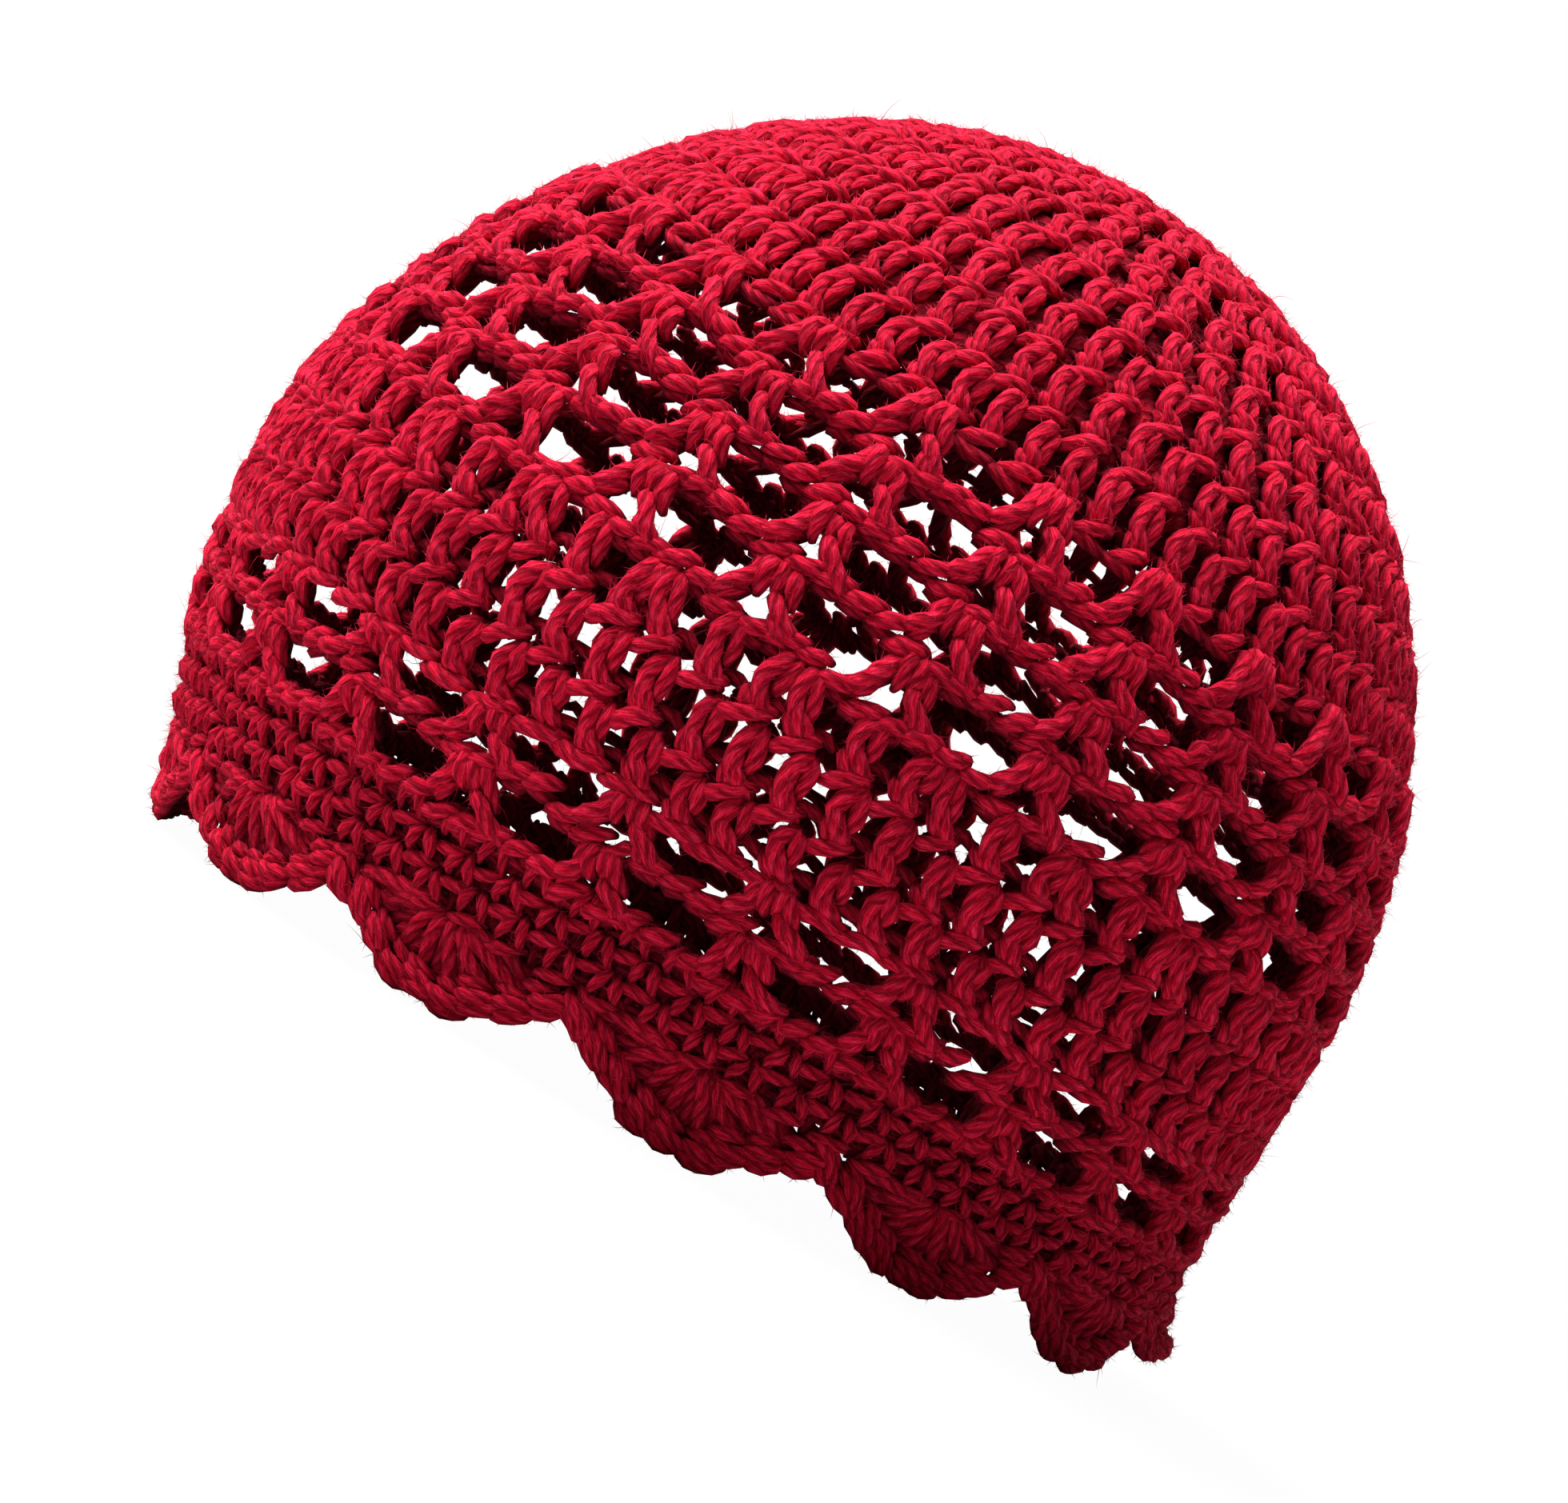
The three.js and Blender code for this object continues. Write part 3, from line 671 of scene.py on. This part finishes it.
class HatColours(bpy.types.PropertyGroup):
    """Colours of the yarn and the stage."""

    yarn: colour("Yarn", "Most of the fibres", "DA0A2E")
    # The bright colour is a painted highlight on the fibres, the shade colour painted shade between them,
    # and the groove colour painted shade between the plies
    bright: colour("Bright", "Fibres that catch the light", "F0325A")
    shade: colour("Shade", "Between the fibres", "7C0418")
    groove_shade: colour("Groove", "Between the plies", "640110")
    sheen: colour("Sheen", "Fibres seen edge on", "F04470")
    fibre: colour("Loose fibre", "Single loose fibres", "E23A58")
    stage: colour("Stage", "Paint of the floor", "A4A2A2")
    paper: colour("Paper", "Background and sky", "FFFFFF")


def add_piece(name, mesh, maker):
    """An object of a mesh and a maker's material, riding on the hat."""
    piece = bpy.data.objects.new(name, mesh)
    bpy.context.scene.collection.objects.link(piece)
    piece.data.materials.append(shared_material(maker))
    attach(piece, "root")
    return piece


def crochet(work, seed, node):
    """Crochets one band by its work, with a seed of its own, in the place of its solid."""
    sizes = bpy.context.scene.hat_sizes
    skein = Skein(Surface(sizes), sizes, SEED + seed)
    work(skein)
    name = work.__name__
    piece = add_piece(name, skein.mesh(name), worsted_acrylic_yarn)
    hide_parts(node)


def pairs(runs, turns):
    """Runs and turns side by side, one of them the same for all if it is a single number."""
    return np.stack(np.broadcast_arrays(np.asarray(runs, float), np.asarray(turns, float)), axis=-1)


def lace_turns():
    """Directions of the V stitches, half a repeat on from the openings."""
    return FIRST_OPENING + (np.arange(LACE_REPEATS) + 0.5) * FULL_TURN / LACE_REPEATS


def lay_round(skein, stitch, top, bottom, turns, **options):
    """Lays one stitch at each turn of a round between two runs."""
    pitch = FULL_TURN / len(turns)
    count = len(turns)
    base = pairs(top + skein.jitter(count, 0.25), turns + skein.jitter(count, 0.045) * pitch)
    across = pairs(0.0, np.full(count, pitch))
    down = pairs(bottom - top, skein.jitter(count, 0.03) * pitch)
    skein.lay(stitch, base, across, down, **options)


def crown_stitches(skein):
    """Nine rounds of double crochet, eight stitches more in each, from a small ring."""
    height = CROWN_END * skein.surface.full / CROWN_ROUNDS
    last = lace_turns()[0] + CROWN_START * FULL_TURN / (CROWN_INCREASE * CROWN_ROUNDS)
    for number in range(1, CROWN_ROUNDS + 1):
        count = CROWN_INCREASE * number
        turns = last + np.arange(count) * FULL_TURN / count - (CROWN_ROUNDS - number) * CROWN_TURN
        top = CROWN_RING + height * (number - 1)
        stitch = FRONT_LOOP + CROWN_POST + (CROWN_BACK if number < CROWN_ROUNDS else ())
        lay_round(skein, stitch, top, top + height, turns, thickness=CROWN_THICKNESS, sink=CROWN_SINK)


def lay_backing(skein, run):
    """The backs of the heads between two rounds, as a ring of thick links behind the fabric."""
    turns = np.arange(ROUND_STITCHES) * FULL_TURN / ROUND_STITCHES
    base = pairs(run + skein.jitter(ROUND_STITCHES, 0.1), turns)
    across = pairs(np.zeros(ROUND_STITCHES), 1 / skein.surface.half_width(run))
    skein.lay(BACKING_LINK, base, across, pairs(np.ones(ROUND_STITCHES), 0.0))


def lay_bar(skein, run, wave):
    """The heads and chains below a round of V stitches, as one rope of links."""
    half = skein.surface.half_width(run)
    for link in range(BAR_LINKS):
        place = link / BAR_LINKS - BAR_START
        runs = run + wave * math.cos(FULL_TURN * place) + skein.jitter(LACE_REPEATS, 0.25)
        turns = lace_turns() + place * FULL_TURN / LACE_REPEATS
        base = pairs(runs, turns + skein.jitter(LACE_REPEATS, 0.25) / half)
        across = pairs(skein.jitter(LACE_REPEATS, 0.06), 1 / half)
        skein.lay(CHAIN_LINK, base, across, pairs(np.ones(LACE_REPEATS), 0.0))


def lay_lace_round(skein, top, bottom):
    """One round of V stitches, each hooked over the chain above it."""
    half = skein.surface.half_width((top + bottom) / 2)
    runs = top + skein.jitter(LACE_REPEATS, 0.2)
    base = pairs(runs, lace_turns() + skein.jitter(LACE_REPEATS, 0.3) / half)
    across = pairs(skein.jitter(LACE_REPEATS, 0.05), 1 / half)
    down = pairs(bottom - top, skein.jitter(LACE_REPEATS, 0.3) / half)
    skein.lay(LACE_ARMS, base, across, down, looseness=0.24)


def upper_lace_stitches(skein):
    """Four rounds of V stitches with a bar of chains under each."""
    full = skein.surface.full
    top = CROWN_END * full + FIRST_LACE
    turns = lace_turns()[0] + np.arange(ROUND_STITCHES) * FULL_TURN / ROUND_STITCHES
    across = pairs(np.zeros(ROUND_STITCHES), 1 / skein.surface.half_width(top))
    base = pairs(top + HEAD_BACK_DROP, turns)
    skein.lay(HEAD_BACK, base, across, pairs(np.ones(ROUND_STITCHES), 0.0))
    for end in UPPER_LACE_ENDS:
        bottom = end * full
        lay_lace_round(skein, top, bottom)
        lay_bar(skein, bottom + UPPER_BAR, UPPER_WAVE)
        top = bottom + UPPER_NEXT


def middle_stitches(skein):
    """Three rounds of double crochet; the first spreads from the openings above it."""
    full = skein.surface.full
    pitch = FULL_TURN / ROUND_STITCHES
    tops = lace_turns()[:, None] + SPREAD_TOPS * pitch
    bottoms = lace_turns()[:, None] + SPREAD_FEET * pitch
    top = UPPER_LACE_ENDS[-1] * full
    first = MIDDLE_ENDS[0] * full
    base = pairs(top, tops.ravel() + skein.jitter(tops.size, 0.03) * pitch)
    across = pairs(np.zeros(tops.size), pitch)
    down = pairs(np.full(tops.size, first - top), (bottoms - tops).ravel())
    skein.lay(FRONT_LOOP + POST, base, across, down)
    turns = bottoms.ravel()
    top = first
    for end in MIDDLE_ENDS[1:]:
        turns = turns + ROUND_DRIFT * pitch
        loop = LONG_LOOP if end == MIDDLE_ENDS[-1] else FRONT_LOOP
        lay_round(skein, loop + POST, top, end * full, turns)
        top = end * full


def lower_lace_stitches(skein):
    """Two rounds of V stitches with a bar of chains under each."""
    full = skein.surface.full
    top = MIDDLE_ENDS[-1] * full
    for end in LOWER_LACE_ENDS:
        bottom = end * full
        lay_lace_round(skein, top, bottom)
        lay_bar(skein, bottom + LOWER_BAR, LOWER_WAVE)
        top = bottom + LOWER_NEXT


def brim_stitches(skein):
    """Three rounds of single crochet, drawn tighter than the rest."""
    full = skein.surface.full
    top = LOWER_LACE_ENDS[-1] * full - BRIM_OVERLAP
    for number, end in enumerate(BRIM_ENDS):
        places = np.arange(ROUND_STITCHES) + BRIM_DRIFT * number
        turns = lace_turns()[0] + places * FULL_TURN / ROUND_STITCHES
        lay_round(skein, SINGLE_CROCHET, top, end * full, turns, thickness=BRIM_THICKNESS)
        lay_backing(skein, top + BRIM_BACKING)
        top = end * full


def scallop_run(skein, place):
    """How far down the scalloped edge lies at a place along a scallop, from -1 to 1."""
    depth = bpy.context.scene.hat_sizes.scallop / MM
    beyond = np.maximum(np.abs(place) - SHELL_TIP, 0) / (1 - SHELL_TIP)
    return skein.surface.full - depth * beyond**np.where(place < 0, SHELL_LEFT, SHELL_RIGHT)


def scallop_stitches(skein):
    """Shells of double crochet fanned from one stitch each, with a chain-like border."""
    surface = skein.surface
    top = BRIM_ENDS[-1] * surface.full
    half = surface.half_width(top)
    pitch = FULL_TURN / SCALLOPS
    centres = FIRST_SCALLOP + np.arange(SCALLOPS) * pitch
    lay_backing(skein, top + SHELL_BACKING)
    for number in range(2 * SHELL_STITCHES - 1):
        head = SHELL_REACH * (number / (SHELL_STITCHES - 1) - 1)
        fall = scallop_run(skein, head) - SHELL_INSET - top
        aside = head * pitch / 2
        fan = SHELL_FAN * aside
        length = math.hypot(fall, fan * half)
        base = pairs(top + skein.jitter(SCALLOPS, 0.2), centres + SHELL_FOOT * aside)
        across = pairs(np.full(SCALLOPS, -fan * half / length), fall / length / half)
        down = pairs(np.full(SCALLOPS, fall), fan)
        skein.lay(SHELL_BACK if number % 2 else SHELL_STITCH, base, across, down)
    for place in (np.arange(BORDER_LINKS) + 0.5) / BORDER_LINKS * 2 - 1:
        ahead, behind = min(place + 0.1, 1), max(place - 0.1, -1)
        fall = scallop_run(skein, ahead) - scallop_run(skein, behind)
        slope = fall / ((ahead - behind) * pitch / 2 * half)
        length = math.hypot(1, slope)
        run = scallop_run(skein, place) - BORDER_INSET
        turns = centres + place * pitch / 2
        base = pairs(run + skein.jitter(SCALLOPS, 0.25), turns + skein.jitter(SCALLOPS, 0.5) / half)
        across = pairs(np.full(SCALLOPS, slope / length), 1 / length / half)
        down = pairs(np.full(SCALLOPS, 1 / length), -slope / length / half)
        skein.lay(BORDER_LINK, base, across, down, looseness=0.22)


BANDS = (
    crown_stitches,
    upper_lace_stitches,
    middle_stitches,
    lower_lace_stitches,
    brim_stitches,
    scallop_stitches,
)


def fibre_roots():
    """Points in millimetres on the outer sides of the strands, and the directions off them."""
    roots, normals, heights = [], [], []
    for work in BANDS:
        mesh = bpy.data.objects[work.__name__].data
        points, offs = np.empty((2, len(mesh.vertices), 3), np.float32)
        height = np.empty(len(mesh.vertices), np.float32)
        mesh.vertices.foreach_get("co", points.ravel())
        mesh.vertex_normals.foreach_get("vector", offs.ravel())
        mesh.attributes["height"].data.foreach_get("value", height)
        roots.append(points / MM)
        normals.append(offs)
        heights.append(height)
    roots, normals, heights = map(np.concatenate, (roots, normals, heights))
    away = roots - (0, 0, FIBRE_CENTRE)
    shows = ((unit(away) * normals).sum(axis=1) > FIBRE_FACING) & (heights > FIBRE_HEIGHT)
    return roots[shows], normals[shows]


def loose_fibres(name, count, steps, lengths, steepness, seed):
    """Fine fibres that stand off the yarn all over the hat, each a spike of some steps."""
    rng = np.random.default_rng(SEED + seed)
    roots, normals = fibre_roots()
    chosen = rng.choice(len(roots), count, replace=False)
    roots, normals = roots[chosen], normals[chosen]
    ahead = unit(unit(np.cross(normals, rng.normal(0, 1, normals.shape)))
                 + normals * rng.uniform(FIBRE_LEAST, 2 * steepness, (count, 1)))
    bend = rng.normal(0, FIBRE_BEND, ahead.shape)
    stride = rng.uniform(*lengths, (count, 1)) / steps
    path = [roots - FIBRE_ROOT * normals]
    for step in range(steps):
        path.append(path[-1] + stride * unit(ahead + bend * step / steps))
    path = np.array(path)
    side = unit(np.cross(ahead, rng.normal(0, 1, ahead.shape)))
    top = np.cross(ahead, side)
    angles = np.arange(FIBRE_SIDES)[:, None] * FULL_TURN / FIBRE_SIDES
    ring = (side[:, None] * np.cos(angles) + top[:, None] * np.sin(angles)) * FIBRE_RADIUS
    narrowing = np.linspace(1, 0, steps + 1)[:-1, None, None, None]
    rings = (path[:-1, :, None] + ring * narrowing).transpose(1, 0, 2, 3)
    points = np.concatenate([rings.reshape(count, -1, 3), path[-1][:, None]], axis=1)
    index = np.arange(points.size // 3).reshape(count, -1)
    around = index[:, :-1].reshape(count, steps, FIBRE_SIDES)
    after = np.roll(around, -1, axis=2)
    tips = np.broadcast_to(index[:, -1:], (count, FIBRE_SIDES))
    faces = [np.stack([around[:, -1], after[:, -1], tips], axis=-1).reshape(-1, 3)]
    if steps > 1:
        quads = np.stack([around[:, :-1], after[:, :-1], after[:, 1:], around[:, 1:]], axis=-1)
        faces.append(quads.reshape(-1, 4))
    return mesh_from(name, points.reshape(-1, 3), faces)


class HAT_OT_crown(bpy.types.Operator):
    """Crochets the crown"""

    bl_idname = "hat.crown"
    bl_label = "Crown"

    def execute(self, context):
        crochet(crown_stitches, 1, "crown")
        return {"FINISHED"}


class HAT_OT_upper_lace(bpy.types.Operator):
    """Crochets the upper band of lace"""

    bl_idname = "hat.upper_lace"
    bl_label = "Upper lace band"

    def execute(self, context):
        crochet(upper_lace_stitches, 2, "upper_lace_band")
        return {"FINISHED"}


class HAT_OT_middle(bpy.types.Operator):
    """Crochets the plain band between the two bands of lace"""

    bl_idname = "hat.middle"
    bl_label = "Middle band"

    def execute(self, context):
        crochet(middle_stitches, 3, "middle_band")
        return {"FINISHED"}


class HAT_OT_lower_lace(bpy.types.Operator):
    """Crochets the lower band of lace"""

    bl_idname = "hat.lower_lace"
    bl_label = "Lower lace band"

    def execute(self, context):
        crochet(lower_lace_stitches, 4, "lower_lace_band")
        return {"FINISHED"}


class HAT_OT_brim(bpy.types.Operator):
    """Crochets the tight brim"""

    bl_idname = "hat.brim"
    bl_label = "Brim band"

    def execute(self, context):
        crochet(brim_stitches, 5, "brim_band")
        return {"FINISHED"}


class HAT_OT_scallops(bpy.types.Operator):
    """Crochets the scalloped edging"""

    bl_idname = "hat.scallops"
    bl_label = "Scallop edging"

    def execute(self, context):
        crochet(scallop_stitches, 6, "scallop_edging")
        return {"FINISHED"}


class HAT_OT_fibres(bpy.types.Operator):
    """Scatters the loose fibres of the yarn's halo over the bands, once they are made"""

    bl_idname = "hat.fibres"
    bl_label = "Loose fibres"

    def execute(self, context):
        for seed, (name, *kind) in enumerate(FIBRES, start=len(BANDS) + 1):
            add_piece(name, loose_fibres(name, *kind, seed), loose_acrylic_fibre)
        return {"FINISHED"}


class HAT_OT_stage(bpy.types.Operator):
    """Sets up the floor, the backdrop, the lights and the camera"""

    bl_idname = "hat.stage"
    bl_label = "Stage"

    def execute(self, context):
        lay_floor()
        hang_lights()
        aim_camera()
        return {"FINISHED"}


def lay_floor():
    """A wide floor that curves up into a backdrop far behind the hat."""
    foot = FLOOR_FAR - FLOOR_BEND
    profile = [(FLOOR_NEAR, 0.0), (foot, 0.0)]
    for step in range(1, FLOOR_BEND_STEPS + 1):
        angle = math.pi / 2 * step / FLOOR_BEND_STEPS
        profile.append((foot + FLOOR_BEND * math.sin(angle), FLOOR_BEND - FLOOR_BEND * math.cos(angle)))
    profile.append((FLOOR_FAR, FLOOR_HEIGHT))
    points = [(x, y, z) for y, z in profile for x in (-FLOOR_SIDE, FLOOR_SIDE)]
    faces = [(i, i + 1, i + 3, i + 2) for i in range(0, len(points) - 2, 2)]
    mesh = bpy.data.meshes.new("floor")
    mesh.from_pydata(points, [], faces)
    mesh.shade_smooth()
    floor = bpy.data.objects.new("floor", mesh)
    floor.data.materials.append(shared_material(matt_grey_paint))
    floor.data.materials.append(shared_material(backlit_white_paper))
    for face in mesh.polygons[1:]:
        face.material_index = 1
    bpy.context.scene.collection.objects.link(floor)


def hang_lights():
    """One broad soft light from the upper left, and an even dim sky that the camera sees as white."""
    scene = bpy.context.scene
    scene.view_settings.view_transform = "Standard"
    world = bpy.data.worlds.new("studio_sky")
    scene.world = world
    world.use_nodes = True
    tree = world.node_tree
    sky = tree.nodes["Background"]
    sky.inputs["Color"].default_value = scene.hat_colours.paper
    path = add_node(tree, "ShaderNodeLightPath")
    seen = add_node(
        tree, "ShaderNodeMapRange", i0=path.outputs["Is Camera Ray"], i3=SKY_STRENGTH, i4=1.0)
    tree.links.new(seen.outputs[0], sky.inputs["Strength"])
    light = bpy.data.lights.new("key", "SUN")
    light.energy = KEY_STRENGTH
    light.angle = KEY_BREADTH
    lamp = bpy.data.objects.new("key", light)
    lamp.rotation_euler = Vector(KEY_FROM).to_track_quat("Z", "Y").to_euler()
    scene.collection.objects.link(lamp)


def aim_camera():
    """The photograph's view: level with the hat, and turned so that the hat leans in the frame."""
    scene = bpy.context.scene
    camera = bpy.data.cameras.new("camera")
    camera.sensor_width = SENSOR_WIDTH
    camera.lens = FOCAL_PIXELS / PHOTO_WIDTH * SENSOR_WIDTH
    camera.clip_end = CAMERA_CLIP
    eye = bpy.data.objects.new("camera", camera)
    place = Vector((0, -CAMERA_DISTANCE, CAMERA_HEIGHT)) * MM
    level = Matrix.Rotation(math.pi / 2, 4, "X")
    roll = Matrix.Rotation(CAMERA_ROLL, 4, "Z")
    eye.matrix_world = Matrix.Translation(place) @ level @ roll
    scene.collection.objects.link(eye)
    scene.camera = eye


class HAT_PT_panel(bpy.types.Panel):
    """Lists the pieces of the hat"""

    bl_label = "Crocheted hat"
    bl_idname = "HAT_PT_panel"
    bl_space_type = "VIEW_3D"
    bl_region_type = "UI"
    bl_category = "Hat"

    def draw(self, context):
        for group in (context.scene.hat_sizes, context.scene.hat_colours):
            for key in group.bl_rna.properties.keys():
                if key not in ("rna_type", "name"):
                    self.layout.prop(group, key)
        for operator in OPERATORS:
            self.layout.operator(operator.bl_idname)


OPERATORS = (
    HAT_OT_crown,
    HAT_OT_upper_lace,
    HAT_OT_middle,
    HAT_OT_lower_lace,
    HAT_OT_brim,
    HAT_OT_scallops,
    HAT_OT_fibres,
    HAT_OT_stage,
)
CLASSES = (HatSizes, HatColours, *OPERATORS, HAT_PT_panel)


def register():
    """Makes the properties, operators and panel known."""
    for cls in CLASSES:
        bpy.utils.register_class(cls)
    bpy.types.Scene.hat_sizes = bpy.props.PointerProperty(type=HatSizes)
    bpy.types.Scene.hat_colours = bpy.props.PointerProperty(type=HatColours)


def unregister():
    """Takes them away again."""
    del bpy.types.Scene.hat_sizes
    del bpy.types.Scene.hat_colours
    for cls in reversed(CLASSES):
        bpy.utils.unregister_class(cls)


def main():
    """Makes the hat and its stage."""
    register()
    bpy.ops.hat.crown()
    bpy.ops.hat.upper_lace()
    bpy.ops.hat.middle()
    bpy.ops.hat.lower_lace()
    bpy.ops.hat.brim()
    bpy.ops.hat.scallops()
    bpy.ops.hat.fibres()
    bpy.ops.hat.stage()


if __name__ == "__main__":
    main()
